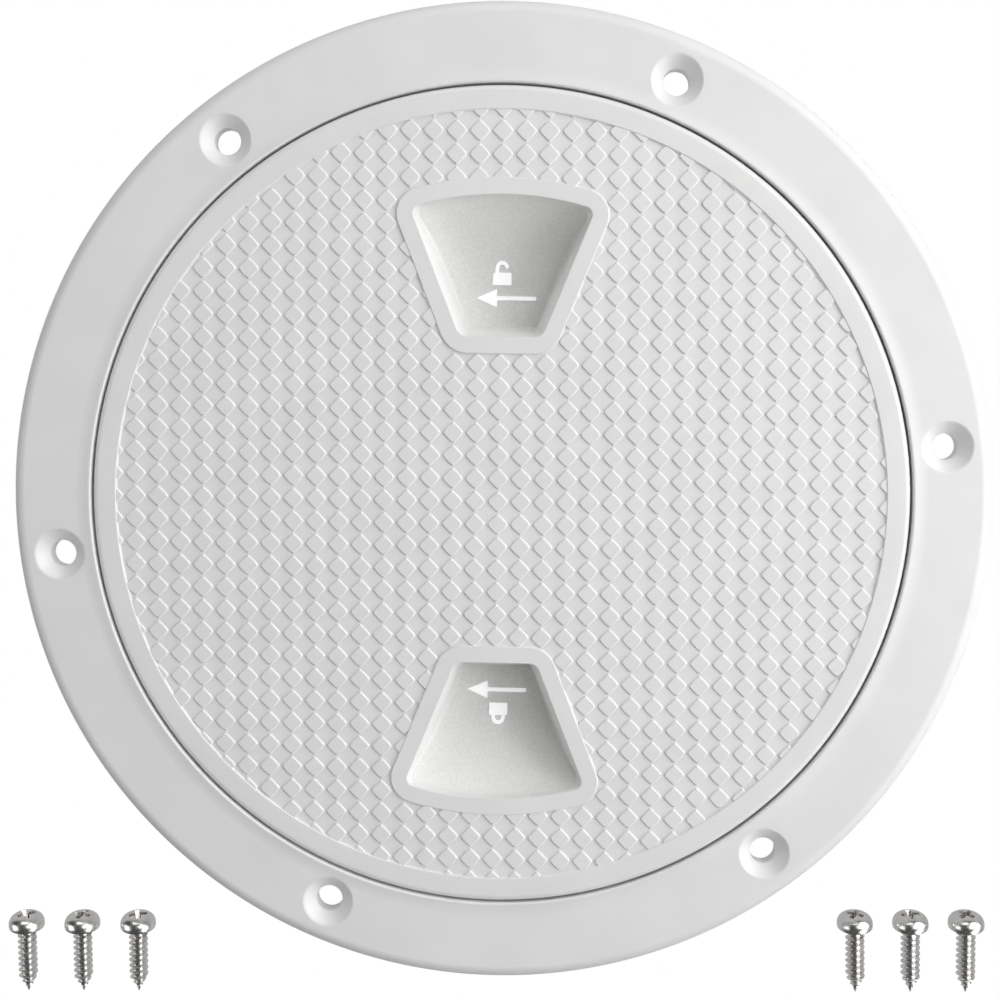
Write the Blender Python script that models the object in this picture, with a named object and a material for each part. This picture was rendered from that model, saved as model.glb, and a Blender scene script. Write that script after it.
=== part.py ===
"""Round screw-out deck hatch: a flanged deck ring, a threaded lid with two finger wells,
the O-ring between them, and the six pan-head screws that come with it.

Metres, +Z up out of the deck. The origin is the centre of the lid's flat top face, and the
finger wells lie on the Y axis, the one marked for opening on +Y.
"""
import bpy
import bmesh
from math import atan2, cos, pi, radians, sin, sqrt
from mathutils import Matrix

MM = 0.001

# Driving dimensions, in millimetres ---------------------------------------------------
ROUND_STEPS = 64                 # facets around every large round face

FLANGE_RADIUS = 100.0
FLANGE_TOP = -0.35               # the flange lies a little below its raised inner lip
FLANGE_BOTTOM = -6.0
FLANGE_EDGE_RADIUS = 2.8
LIP_WIDTH = 3.2                  # the slope from the lip down to the flange
LIP_EDGE = 0.4                   # chamfer on the lip's bore edge
LIP_HOLLOW = (1.0, -0.22)        # a point of the slope, from the lip's edge
FLANGE_FOOT_EDGE = 0.3           # chamfer under the flange's outer edge

RIM_BORE_RADIUS = 83.6           # the seat that the lid's rim drops into
LEDGE_Z = -6.8                   # where the O-ring rests
THREAD_BORE_RADIUS = 79.0
CUP_RADIUS = 87.0                # outside of the seat, below the flange
CUP_BOTTOM = -9.6
COLLAR_RADIUS = 82.2
COLLAR_BOTTOM = -26.0

HOLE_COUNT = 6
HOLE_CIRCLE_RADIUS = 91.0
HOLE_FIRST_ANGLE = radians(7.9)
HOLE_DIAMETER = 5.4
COUNTERSINK_DIAMETER = 10.2
COUNTERSINK_DEPTH = 2.4
CUTTER_BELOW = 1.0               # how far the cutters reach past the faces they open
CUTTER_ABOVE = 0.5

LID_RADIUS = 83.2
LID_EDGE_RADIUS = 1.1
LID_RIM_THICKNESS = 3.2
SEAL_SEAT_RADIUS = 79.7          # the step that the O-ring is stretched over
SEAL_SEAT_BOTTOM = -6.4
SKIRT_RADIUS = 76.6
SKIRT_THICKNESS = 2.4
SKIRT_BOTTOM = -18.5

SEAL_SECTION = 3.0
SEAL_CENTRE_RADIUS = 81.5
GAP = 0.3                        # clearance kept where two pieces touch

THREAD_STARTS = 3
THREAD_LEAD = 18.0               # rise for one turn, right-handed
THREAD_ROOT_WIDTH = 2.4
THREAD_TIP_WIDTH = 1.4
THREAD_OVERLAP = 0.5             # how far a ridge is sunk into the wall it grows from
THREAD_STEP = radians(7.5)
THREAD_END_HEIGHT = 0.15         # share of a ridge's height left at its very end
THREAD_RUN_IN = 2                # steps over which it grows to about its full height
LID_THREAD_TIP_RADIUS = 78.4
LID_THREAD_START_Z = -17.0
LID_THREAD_SPAN = radians(120)
COLLAR_THREAD_TIP_RADIUS = 77.3
COLLAR_THREAD_RISE = 2.2         # collar ridges bear on the lid's ridges from above
COLLAR_THREAD_FROM = radians(-100)
COLLAR_THREAD_SPAN = radians(210)

WELL_INNER_Y = 33.3              # the straight end that the fingers pull on
WELL_OUTER_RADIUS = 61.5         # the curved end, concentric with the lid
WELL_INNER_HALF_WIDTH = 8.25     # to the corners, before they are rounded
WELL_OUTER_HALF_WIDTH = 18.4
WELL_INNER_CORNER = 1.9
WELL_OUTER_CORNER = 2.4
WELL_DEPTH = 12.0
WELL_LIP_DEPTH = 1.0             # depth at the curved end, before the scoop
WELL_DRAFT = 2.1
WELL_WALL = 2.0
WELL_STATIONS = [0, 0.03, 0.1, 0.3, 0.5, 0.7, 0.85, 0.95, 1]    # along the well, for its mesh
WELL_COLUMNS = 3                 # on each side of the well's middle
WELL_SCOOP_POWER = 2.2           # 2 would make the floor a quarter of an ellipse
WELL_POD_TOP = -1.5              # where the pods start, inside the plate

RIB_ANGLES = [radians(a) for a in (0, 45, 135, 180, 225, 315)]
RIB_THICKNESS = 1.8
RIB_BOTTOM = -7.0
RIB_TOP = -2.0                   # inside the plate
RIB_INNER_RADIUS = 9.0
RIB_HUB_RADIUS = 11.0

SCREW_HEAD_RADIUS = 3.95
SCREW_HEAD_HEIGHT = 3.1
SCREW_RIM_HEIGHT = 0.9           # where the head is widest, above its underside
SCREW_LENGTH = 16.0              # under the head
SCREW_CORE_RADIUS = 1.45
SCREW_THREAD_RADIUS = 2.1
SCREW_PITCH = 1.4
SCREW_POINT_LENGTH = 4.0
SCREW_SHANK_RADIUS = 1.6
SCREW_SHANK_END = -0.6           # the thread grows out of the shank from here
SCREW_THREAD_START = -1.2
SCREW_BARE_TIP = 2.2             # at least this much of the point has no thread
SCREW_TIP_FLAT = 0.3             # how far the drawn-in thread would overshoot the tip
SCREW_THREAD_STEPS = 8
SCREW_HEAD_STEPS = 16
RECESS_DEPTH = 2.0
RECESS_HALF_LENGTH = 2.1
RECESS_HALF_WIDTH = 0.55
RECESS_FLOOR_SCALE = 0.45        # the recess tapers from a little over its size at the top
RECESS_TOP_SCALE = 1.1
RECESS_CUTTER_ABOVE = 0.4

SCREW_SPIN = radians(37)         # each next screw's recess is turned by this
# The screws lie loose on the surface that the collar stands on, in two rows of three:
# (x and y of the row's middle head top, spacing, turn of the row, turn of each screw)
SCREW_ROWS = [
    (-93.05, -96.4, 12.68, radians(1.5), radians(-1.7)),
    (91.95, -91.4, 12.2, radians(1.5), radians(3.9)),
]


# Building blocks ----------------------------------------------------------------------
def clear_scene():
    for old in list(bpy.data.objects):
        bpy.data.objects.remove(old, do_unlink=True)


def material(name, colour, roughness, metallic=0.0):
    mat = bpy.data.materials.new(name)
    mat.use_nodes = True
    shader = mat.node_tree.nodes["Principled BSDF"]
    shader.inputs["Base Color"].default_value = (*colour, 1.0)
    shader.inputs["Roughness"].default_value = roughness
    shader.inputs["Metallic"].default_value = metallic
    return mat


def finish_object(name, bm, mat=None, smooth_angle=radians(35)):
    """Turn a bmesh in millimetres into an object in metres with its faces pointing out."""
    bmesh.ops.scale(bm, vec=(MM, MM, MM), verts=bm.verts)
    bmesh.ops.recalc_face_normals(bm, faces=bm.faces)
    mesh = bpy.data.meshes.new(name)
    bm.to_mesh(mesh)
    bm.free()
    mesh.shade_smooth()
    mesh.set_sharp_from_angle(angle=smooth_angle)
    if mat:
        mesh.materials.append(mat)
    obj = bpy.data.objects.new(name, mesh)
    bpy.context.scene.collection.objects.link(obj)
    return obj


def combine(target, steps, smooth_angle=radians(35)):
    """Join or cut helper solids, given as (operation, bmesh), and keep only the result."""
    helpers = []
    for number, (operation, bm) in enumerate(steps):
        helper = finish_object(f"{target.name}_helper_{number}", bm)
        modifier = target.modifiers.new(helper.name, "BOOLEAN")
        modifier.operation = operation
        modifier.solver = "EXACT"
        modifier.object = helper
        helpers.append(helper)
    evaluated = target.evaluated_get(bpy.context.evaluated_depsgraph_get())
    mesh = bpy.data.meshes.new_from_object(evaluated)
    target.modifiers.clear()
    target.data = mesh
    mesh.shade_smooth()
    mesh.set_sharp_from_angle(angle=smooth_angle)
    for helper in helpers:
        bpy.data.objects.remove(helper, do_unlink=True)


def join_rings(bm, rings, closed=True):
    """Bridge successive rings of vertices with quads; a ring of one vertex is a pole."""
    pairs = list(zip(rings, rings[1:]))
    if closed:
        pairs.append((rings[-1], rings[0]))
    for first, second in pairs:
        count = max(len(first), len(second))
        for i in range(count):
            j = (i + 1) % count
            corners = [first[i % len(first)], first[j % len(first)]]
            corners += [second[j % len(second)], second[i % len(second)]]
            unique = list(dict.fromkeys(corners))
            if len(unique) > 2:
                bm.faces.new(unique)


def join_strip(bm, first, second):
    """Fill the strip between two open rows of vertices of the same length."""
    for i in range(len(first) - 1):
        bm.faces.new([first[i], first[i + 1], second[i + 1], second[i]])


def turned(profile, steps=ROUND_STEPS):
    """Revolve (radius, z) points about Z. A closed loop of the axis is a disc-like solid."""
    bm = bmesh.new()
    rings = []
    for radius, z in profile:
        if radius == 0:
            rings.append([bm.verts.new((0, 0, z))])
            continue
        angles = [2 * pi * i / steps for i in range(steps)]
        rings.append([bm.verts.new((radius * cos(a), radius * sin(a), z)) for a in angles])
    join_rings(bm, rings, closed=profile[0][0] != 0)
    return bm


def arc_points(centre, radius, start, end, count):
    """Points of a circular arc in (radius, z), from one angle to another."""
    angles = [start + (end - start) * i / (count - 1) for i in range(count)]
    return [(centre[0] + radius * cos(a), centre[1] + radius * sin(a)) for a in angles]


def add_ridge(bm, wall_radius, tip_radius, start_angle, span, start_z):
    """One helical thread ridge with a trapezoid section, tapering out at both ends."""
    steps = round(span / THREAD_STEP)
    inward = 1 if tip_radius > wall_radius else -1
    rings = []
    for i in range(steps + 1):
        angle = start_angle + span * i / steps
        z = start_z + THREAD_LEAD * span * i / steps / (2 * pi)
        grown = THREAD_END_HEIGHT + min(i, steps - i) / THREAD_RUN_IN
        taper = min(1.0, grown)
        tip = wall_radius + (tip_radius - wall_radius) * taper
        base = wall_radius - inward * THREAD_OVERLAP
        section = [
            (base, -THREAD_ROOT_WIDTH / 2),
            (tip, -THREAD_TIP_WIDTH / 2),
            (tip, THREAD_TIP_WIDTH / 2),
            (base, THREAD_ROOT_WIDTH / 2),
        ]
        points = [(r * cos(angle), r * sin(angle), z + dz) for r, dz in section]
        rings.append([bm.verts.new(p) for p in points])
    join_rings(bm, rings, closed=False)
    bm.faces.new(rings[0])
    bm.faces.new(rings[-1])


def thread_ridges(wall_radius, tip_radius, first_angle, span, start_z):
    bm = bmesh.new()
    for start in range(THREAD_STARTS):
        angle = first_angle + 2 * pi * start / THREAD_STARTS
        add_ridge(bm, wall_radius, tip_radius, angle, span, start_z)
    return bm


# Deck ring ----------------------------------------------------------------------------
def ring_profile():
    edge = (FLANGE_RADIUS - FLANGE_EDGE_RADIUS, FLANGE_TOP - FLANGE_EDGE_RADIUS)
    lip_edge = RIM_BORE_RADIUS + LIP_EDGE
    lip_foot = RIM_BORE_RADIUS + LIP_WIDTH
    return [
        (RIM_BORE_RADIUS, LEDGE_Z),
        (RIM_BORE_RADIUS, -LIP_EDGE),
        (lip_edge, 0.0),
        (lip_edge + LIP_HOLLOW[0], LIP_HOLLOW[1]),
        (lip_foot, FLANGE_TOP),
        *arc_points(edge, FLANGE_EDGE_RADIUS, pi / 2, 0, 5),
        (FLANGE_RADIUS, FLANGE_BOTTOM + FLANGE_FOOT_EDGE),
        (FLANGE_RADIUS - FLANGE_FOOT_EDGE, FLANGE_BOTTOM),
        (CUP_RADIUS, FLANGE_BOTTOM),
        (CUP_RADIUS, CUP_BOTTOM),
        (COLLAR_RADIUS, CUP_BOTTOM),
        (COLLAR_RADIUS, COLLAR_BOTTOM),
        (THREAD_BORE_RADIUS, COLLAR_BOTTOM),
        (THREAD_BORE_RADIUS, LEDGE_Z),
    ]


def screw_hole_cutters():
    """Six countersunk holes: a through bore under a cone that opens at the flange top."""
    cone_top = FLANGE_TOP + CUTTER_ABOVE
    slope = (COUNTERSINK_DIAMETER - HOLE_DIAMETER) / 2 / COUNTERSINK_DEPTH
    profile = [
        (0, FLANGE_BOTTOM - CUTTER_BELOW),
        (HOLE_DIAMETER / 2, FLANGE_BOTTOM - CUTTER_BELOW),
        (HOLE_DIAMETER / 2, FLANGE_TOP - COUNTERSINK_DEPTH),
        (COUNTERSINK_DIAMETER / 2 + CUTTER_ABOVE * slope, cone_top),
        (0, cone_top),
    ]
    cutters = bmesh.new()
    for i in range(HOLE_COUNT):
        angle = HOLE_FIRST_ANGLE + 2 * pi * i / HOLE_COUNT
        hole = turned(profile, steps=20)
        place = (HOLE_CIRCLE_RADIUS * cos(angle), HOLE_CIRCLE_RADIUS * sin(angle), 0)
        bmesh.ops.translate(hole, vec=place, verts=hole.verts)
        add_copy(cutters, hole)
    return cutters


def add_copy(bm, other):
    """Copy the other bmesh into this one, and free it."""
    mesh = bpy.data.meshes.new("copy")
    other.to_mesh(mesh)
    other.free()
    bm.from_mesh(mesh)
    bpy.data.meshes.remove(mesh)


def make_deck_ring(plastic):
    ring = finish_object("deck_ring", turned(ring_profile()), plastic)
    thread = thread_ridges(
        THREAD_BORE_RADIUS,
        COLLAR_THREAD_TIP_RADIUS,
        COLLAR_THREAD_FROM,
        COLLAR_THREAD_SPAN,
        LID_THREAD_START_Z
        + COLLAR_THREAD_RISE
        + THREAD_LEAD * COLLAR_THREAD_FROM / (2 * pi),
    )
    combine(ring, [("UNION", thread), ("DIFFERENCE", screw_hole_cutters())])


# Lid ----------------------------------------------------------------------------------
def lid_profile():
    edge = (LID_RADIUS - LID_EDGE_RADIUS, -LID_EDGE_RADIUS)
    return [
        (0, 0),
        *arc_points(edge, LID_EDGE_RADIUS, pi / 2, 0, 4),
        (LID_RADIUS, -LID_RIM_THICKNESS),
        (SEAL_SEAT_RADIUS, -LID_RIM_THICKNESS),
        (SEAL_SEAT_RADIUS, SEAL_SEAT_BOTTOM),
        (SKIRT_RADIUS, SEAL_SEAT_BOTTOM),
        (SKIRT_RADIUS, SKIRT_BOTTOM),
        (SKIRT_RADIUS - SKIRT_THICKNESS, SKIRT_BOTTOM),
        (SKIRT_RADIUS - SKIRT_THICKNESS, -LID_RIM_THICKNESS),
        (0, -LID_RIM_THICKNESS),
    ]


def well_half_width(t, grow):
    """Half the well's width at t, from 0 at the straight end to 1 at the curved end."""
    width = WELL_INNER_HALF_WIDTH + (WELL_OUTER_HALF_WIDTH - WELL_INNER_HALF_WIDTH) * t
    corner = (WELL_INNER_CORNER if t < 0.5 else WELL_OUTER_CORNER) + grow
    length = WELL_OUTER_RADIUS - WELL_INNER_Y + 2 * grow
    from_end = min(t, 1 - t) * length
    if from_end < corner:
        width -= corner - sqrt(corner**2 - (corner - from_end) ** 2)
    return width + grow


def scoop_depth(t):
    """Depth of the well's floor: deepest at the straight end, curving up to the other."""
    scoop = sqrt(max(0.0, 1 - t**WELL_SCOOP_POWER))
    return WELL_LIP_DEPTH + (WELL_DEPTH - WELL_LIP_DEPTH) * scoop


def well_solid(grow, top):
    """The space of the well at +Y, or with grow the pod around it, closed at the top."""
    bm = bmesh.new()
    inner_y = WELL_INNER_Y - grow
    tops, floors = [], []
    for t in WELL_STATIONS:
        half = well_half_width(t, grow)
        depth = scoop_depth(max(t, WELL_STATIONS[1])) + grow
        draft = WELL_DRAFT * scoop_depth(t) / WELL_DEPTH
        for row, reach, z in [(tops, half, top), (floors, half - draft, -depth)]:
            points = []
            for column in range(-WELL_COLUMNS, WELL_COLUMNS + 1):
                x = reach * column / WELL_COLUMNS
                outer_y = sqrt((WELL_OUTER_RADIUS + grow) ** 2 - x**2)
                points.append((x, inner_y + t * (outer_y - inner_y), z))
            row.append([bm.verts.new(p) for p in points])
    for grid in (tops, floors):
        for first, second in zip(grid, grid[1:]):
            join_strip(bm, first, second)
    join_strip(bm, tops[0], floors[0])
    join_strip(bm, tops[-1], floors[-1])
    for side in (0, -1):
        join_strip(bm, [row[side] for row in tops], [row[side] for row in floors])
    return bm


def both_wells(grow, top):
    bm = well_solid(grow, top)
    other = well_solid(grow, top)
    bmesh.ops.rotate(other, cent=(0, 0, 0), matrix=Matrix.Rotation(pi, 3, "Z"), verts=other.verts)
    add_copy(bm, other)
    return bm


def add_box(bm, length_from, length_to, thickness, bottom, top, angle):
    """A radial bar between two radii, turned about Z."""
    corners = []
    for z in (bottom, top):
        for x, y in [
            (length_from, -thickness / 2),
            (length_to, -thickness / 2),
            (length_to, thickness / 2),
            (length_from, thickness / 2),
        ]:
            place = (x * cos(angle) - y * sin(angle), x * sin(angle) + y * cos(angle), z)
            corners.append(bm.verts.new(place))
    bm.faces.new(corners[:4])
    bm.faces.new(corners[4:])
    for i in range(4):
        j = (i + 1) % 4
        bm.faces.new([corners[i], corners[j], corners[4 + j], corners[4 + i]])


def rib_bars():
    """Radial stiffening ribs under the plate, from the hub ring to the skirt."""
    bm = bmesh.new()
    skirt_middle = SKIRT_RADIUS - SKIRT_THICKNESS / 2
    hub_middle = (RIB_INNER_RADIUS + RIB_HUB_RADIUS) / 2
    for angle in RIB_ANGLES:
        add_box(bm, hub_middle, skirt_middle, RIB_THICKNESS, RIB_BOTTOM, RIB_TOP, angle)
    return bm


def hub_ring():
    profile = [
        (RIB_INNER_RADIUS, RIB_BOTTOM),
        (RIB_HUB_RADIUS, RIB_BOTTOM),
        (RIB_HUB_RADIUS, RIB_TOP),
        (RIB_INNER_RADIUS, RIB_TOP),
    ]
    return turned(profile, steps=24)


def make_lid(plastic):
    lid = finish_object("lid", turned(lid_profile()), plastic)
    thread = thread_ridges(
        SKIRT_RADIUS, LID_THREAD_TIP_RADIUS, 0.0, LID_THREAD_SPAN, LID_THREAD_START_Z
    )
    steps = [
        ("UNION", thread),
        ("UNION", both_wells(WELL_WALL, WELL_POD_TOP)),
        ("UNION", rib_bars()),
        ("UNION", hub_ring()),
        ("DIFFERENCE", both_wells(0.0, CUTTER_BELOW)),
    ]
    combine(lid, steps)


# Seal ---------------------------------------------------------------------------------
def make_lid_seal(rubber):
    middle = -LID_RIM_THICKNESS - GAP - SEAL_SECTION / 2
    section = arc_points((SEAL_CENTRE_RADIUS, middle), SEAL_SECTION / 2, 0, 2 * pi, 9)[:-1]
    finish_object("lid_seal", turned(section), rubber)


# Screws -------------------------------------------------------------------------------
def screw_radius(z, full):
    """Radius of the core or the thread at a depth, drawn in to the point."""
    to_end = SCREW_LENGTH + z + SCREW_TIP_FLAT
    return full * min(1.0, to_end / (SCREW_POINT_LENGTH + SCREW_TIP_FLAT))


def screw_solid():
    """A right-handed pan-head tapping screw, tip down, its head's underside at z = 0."""
    bm = bmesh.new()
    steps = SCREW_THREAD_STEPS
    turns = int((SCREW_LENGTH - SCREW_BARE_TIP) / SCREW_PITCH)
    last = steps * turns

    def point(radius, index, z, count=steps):
        angle = -2 * pi * index / count
        return bm.verts.new((radius * cos(angle), radius * sin(angle), z))

    def root_z(index):
        return SCREW_THREAD_START - SCREW_PITCH * index / steps

    roots = [point(screw_radius(root_z(i), SCREW_CORE_RADIUS), i, root_z(i)) for i in range(last + 1)]
    crests = []
    for i in range(last - steps + 1):
        z = root_z(i) - SCREW_PITCH / 2
        crests.append(point(screw_radius(z, SCREW_THREAD_RADIUS), i, z))
    for i in range(last - steps):
        bm.faces.new([roots[i], roots[i + 1], crests[i + 1], crests[i]])
        bm.faces.new([crests[i], crests[i + 1], roots[i + steps + 1], roots[i + steps]])

    # plain shank above the thread, up to the underside of the head
    shank = [point(SCREW_SHANK_RADIUS, i, SCREW_SHANK_END) for i in range(steps)]
    for i in range(steps):
        j = (i + 1) % steps
        bm.faces.new([shank[i], shank[j], roots[i + 1], roots[i]])
    bm.faces.new([shank[0], roots[0], crests[0], roots[steps]])

    # point below the thread
    tip = bm.verts.new((0, 0, -SCREW_LENGTH))
    for i in range(last - steps, last):
        bm.faces.new([roots[i], roots[i + 1], tip])
    bm.faces.new([tip, roots[last], crests[-1], roots[last - steps]])

    # pan head: flat bearing face, upright rim, domed top
    rings = [shank, [point(SCREW_SHANK_RADIUS, i, 0) for i in range(steps)]]
    join_rings(bm, rings, closed=False)
    profile = [
        (SCREW_HEAD_RADIUS - 0.1, 0.0),
        (SCREW_HEAD_RADIUS, SCREW_RIM_HEIGHT),
        (SCREW_HEAD_RADIUS * 0.93, 2.0),
        (SCREW_HEAD_RADIUS * 0.72, 2.8),
        (SCREW_HEAD_RADIUS * 0.35, SCREW_HEAD_HEIGHT),
    ]
    count = SCREW_HEAD_STEPS
    head = [[point(radius, i, z, count) for i in range(count)] for radius, z in profile]
    join_rings(bm, head, closed=False)
    bm.faces.new(head[-1])
    ratio = count // steps
    for i in range(steps):
        j = (i + 1) % steps
        outer = [head[0][(ratio * i + k) % count] for k in range(ratio + 1)]
        bm.faces.new([rings[1][i], rings[1][j], *reversed(outer)])
    return bm


def recess_cutter():
    """The cross recess: a tapered plus sign let into the top of the head."""
    bm = bmesh.new()
    rings = []
    for z, scale in [
        (SCREW_HEAD_HEIGHT - RECESS_DEPTH, RECESS_FLOOR_SCALE),
        (SCREW_HEAD_HEIGHT + RECESS_CUTTER_ABOVE, RECESS_TOP_SCALE),
    ]:
        long, short = RECESS_HALF_LENGTH * scale, RECESS_HALF_WIDTH * (1 + scale) / 2
        ring = []
        for quarter in range(4):
            turn = quarter * pi / 2
            for x, y in [(short, short), (short, long), (-short, long)]:
                place = (x * cos(turn) - y * sin(turn), x * sin(turn) + y * cos(turn), z)
                ring.append(bm.verts.new(place))
        rings.append(ring)
    join_rings(bm, rings, closed=False)
    bm.faces.new(rings[0])
    bm.faces.new(rings[1])
    return bm


def resting_tilt():
    """Tilt of a screw lying on its head's rim and on its last full thread."""
    reach = SCREW_LENGTH - SCREW_POINT_LENGTH + SCREW_RIM_HEIGHT
    return atan2(SCREW_HEAD_RADIUS - SCREW_THREAD_RADIUS, reach)


def make_screws(steel):
    tilt = resting_tilt()
    # height of the head's centre over the surface, at the level of the widest rim
    rise = SCREW_HEAD_RADIUS * cos(tilt) - SCREW_RIM_HEIGHT * sin(tilt)
    number = 0
    for middle_x, middle_y, spacing, row_turn, screw_turn in SCREW_ROWS:
        for place in (-1, 0, 1):
            number += 1
            screw = finish_object(f"screw_{number}", screw_solid(), steel)
            combine(screw, [("DIFFERENCE", recess_cutter())], radians(50))
            spin = Matrix.Rotation(SCREW_SPIN * number, 4, "Z")
            lay = Matrix.Rotation(-pi / 2 + tilt, 4, "X")
            turn = Matrix.Rotation(screw_turn, 4, "Z")
            top_x = middle_x + spacing * place * cos(row_turn)
            top_y = middle_y + spacing * place * sin(row_turn)
            under_y = top_y - SCREW_HEAD_HEIGHT * cos(tilt)
            where = (top_x * MM, under_y * MM, (COLLAR_BOTTOM + rise) * MM)
            screw.matrix_world = Matrix.Translation(where) @ turn @ lay @ spin


def main():
    clear_scene()
    plastic = material("white_plastic", (0.78, 0.78, 0.78), 0.42)
    rubber = material("black_rubber", (0.02, 0.02, 0.02), 0.65)
    steel = material("stainless_steel", (0.72, 0.71, 0.69), 0.25, metallic=1.0)
    make_deck_ring(plastic)
    make_lid(plastic)
    make_lid_seal(rubber)
    make_screws(steel)


main()
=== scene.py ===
"""Looks of the round screw-out deck hatch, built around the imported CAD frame.

Shapes are modelled in millimetres in the part's own frame, +Z up out of the deck with the
origin at the centre of the lid's top, and become metres when a piece is finished.
"""
from math import atan2, ceil, cos, hypot, pi, radians, sin, sqrt, tan

import bmesh
import bpy
from mathutils import Matrix, Vector


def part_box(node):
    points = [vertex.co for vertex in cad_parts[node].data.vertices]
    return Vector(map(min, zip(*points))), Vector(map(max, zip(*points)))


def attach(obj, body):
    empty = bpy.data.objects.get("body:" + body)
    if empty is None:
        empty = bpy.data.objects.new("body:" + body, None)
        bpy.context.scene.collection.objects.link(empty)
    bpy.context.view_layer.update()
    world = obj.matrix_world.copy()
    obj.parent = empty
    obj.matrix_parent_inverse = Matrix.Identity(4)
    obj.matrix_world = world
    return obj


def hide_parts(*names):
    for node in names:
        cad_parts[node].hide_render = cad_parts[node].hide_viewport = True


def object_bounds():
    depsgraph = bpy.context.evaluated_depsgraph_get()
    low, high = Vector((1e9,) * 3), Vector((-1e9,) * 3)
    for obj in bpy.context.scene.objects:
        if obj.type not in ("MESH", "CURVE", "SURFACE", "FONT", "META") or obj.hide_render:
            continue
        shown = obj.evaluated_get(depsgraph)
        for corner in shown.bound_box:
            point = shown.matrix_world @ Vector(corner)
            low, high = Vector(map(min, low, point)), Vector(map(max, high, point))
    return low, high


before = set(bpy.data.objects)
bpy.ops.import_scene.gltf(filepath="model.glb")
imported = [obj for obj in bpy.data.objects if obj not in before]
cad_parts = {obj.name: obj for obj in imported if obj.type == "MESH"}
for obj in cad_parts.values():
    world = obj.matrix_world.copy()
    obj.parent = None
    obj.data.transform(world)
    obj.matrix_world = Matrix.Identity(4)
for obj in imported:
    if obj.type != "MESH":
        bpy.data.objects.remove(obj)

cad_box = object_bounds()

MM = 0.001


def box_mm(node):
    low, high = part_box(node)
    return low / MM, high / MM


ring_low, ring_high = box_mm("deck_ring")
lid_low, lid_high = box_mm("lid")
seal_low, seal_high = box_mm("lid_seal")

# Dimensions, in millimetres -----------------------------------------------------------
ROUND_STEPS = 256                # facets around the ring and the lid

FLANGE_RADIUS = ring_high.x
FLANGE_TOP = -0.35
FLANGE_BOTTOM = -6.0
FLANGE_EDGE_RADIUS = 2.8
LIP_WIDTH = 3.3
LIP_EDGE = 0.4
RIM_BORE_RADIUS = 83.6
LEDGE_Z = -6.8
THREAD_BORE_RADIUS = 79.0
CUP_RADIUS = 87.0
CUP_BOTTOM = -9.6
COLLAR_RADIUS = 82.2
COLLAR_BOTTOM = ring_low.z
SMALL_EDGE = 0.4                 # rounding of the moulded edges out of sight

HOLE_COUNT = 6
HOLE_CIRCLE_RADIUS = 91.0
HOLE_FIRST_ANGLE = radians(7.9)
HOLE_DIAMETER = 5.4
COUNTERSINK_DIAMETER = 10.2
COUNTERSINK_DEPTH = 2.4
COUNTERSINK_EDGE = 0.35

LID_RADIUS = lid_high.x
LID_EDGE_RADIUS = 1.3
LID_RIM_THICKNESS = 3.2
SEAL_SEAT_RADIUS = 79.7
SEAL_SEAT_BOTTOM = -6.4
SKIRT_RADIUS = 76.6
SKIRT_THICKNESS = 2.4
SKIRT_BOTTOM = lid_low.z

SEAL_SECTION = seal_high.z - seal_low.z
SEAL_CENTRE_RADIUS = seal_high.x - SEAL_SECTION / 2
SEAL_CENTRE_Z = (seal_high.z + seal_low.z) / 2
SEAL_FLASH = 0.06                # the parting line that moulding leaves on an O-ring

THREAD_STARTS = 3
THREAD_LEAD = 18.0
THREAD_ROOT_WIDTH = 2.4
THREAD_TIP_WIDTH = 1.4
THREAD_OVERLAP = 0.5
THREAD_STEP = radians(2.5)
THREAD_RUN_IN = radians(12)
LID_THREAD_TIP_RADIUS = 78.4
LID_THREAD_START_Z = -17.0
LID_THREAD_SPAN = radians(120)
COLLAR_THREAD_TIP_RADIUS = 77.3
COLLAR_THREAD_RISE = 2.2
COLLAR_THREAD_FROM = radians(-100)
COLLAR_THREAD_SPAN = radians(210)

TREAD_PITCH = 4.638              # between the middles of two diamonds, along X and Y
TREAD_DIAGONAL = 4.4             # at half the height of a diamond's sides
TREAD_RELIEF = 0.5               # depth of the tread's field under the lid's smooth parts
TREAD_DROP = 0.16                # the diamonds' tops lie a little under the smooth parts
TREAD_SLOPE = 0.24               # width of a diamond's sloping side, seen from above
TREAD_TOP_EDGE = 0.07
TREAD_CORNER = 0.6
TREAD_FIELD_RADIUS = 78.4        # the smooth border starts here
TREAD_MERGE = 0.15               # how far a cut diamond runs on under the border or a bezel
TREAD_LEAST = 0.5                # a diamond that would show less than this is left out
TREAD_MIDDLE = (-0.12, -0.12)    # the pattern is not quite centred on the lid

WELL_INNER_Y = 33.3
WELL_OUTER_RADIUS = 61.5
WELL_INNER_HALF_WIDTH = 8.25
WELL_OUTER_HALF_WIDTH = 18.4
WELL_INNER_CORNER = 2.4
WELL_OUTER_CORNER = 1.7
WELL_DEPTH = 12.0
WELL_LIP_DEPTH = 1.0
WELL_SCOOP_POWER = 2.2
WELL_DRAFT = 1.75                # how far a side wall leans in over its height
WELL_END_DRAFT = 2.5
WELL_FILLET = 0.35               # at the foot of the walls, where the well is deep
WELL_FILLET_GROWTH = 1.6         # and this much more towards the shallow end
WELL_INSET = 3.0                 # the walls lean towards the outline drawn in by this
WELL_TIGHTEST_CORNER = 0.5
WELL_EDGE = 0.22                 # rounding of the well's rim
WELL_WALL = 2.0
WELL_POD_TOP = -1.5
BEZEL_WIDTH = 3.4

RIB_ANGLES = [radians(a) for a in (0, 45, 135, 180, 225, 315)]
RIB_THICKNESS = 1.8
RIB_BOTTOM = -7.0
RIB_TOP = -2.0
RIB_INNER_RADIUS = 9.0
RIB_HUB_RADIUS = 11.0

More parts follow.
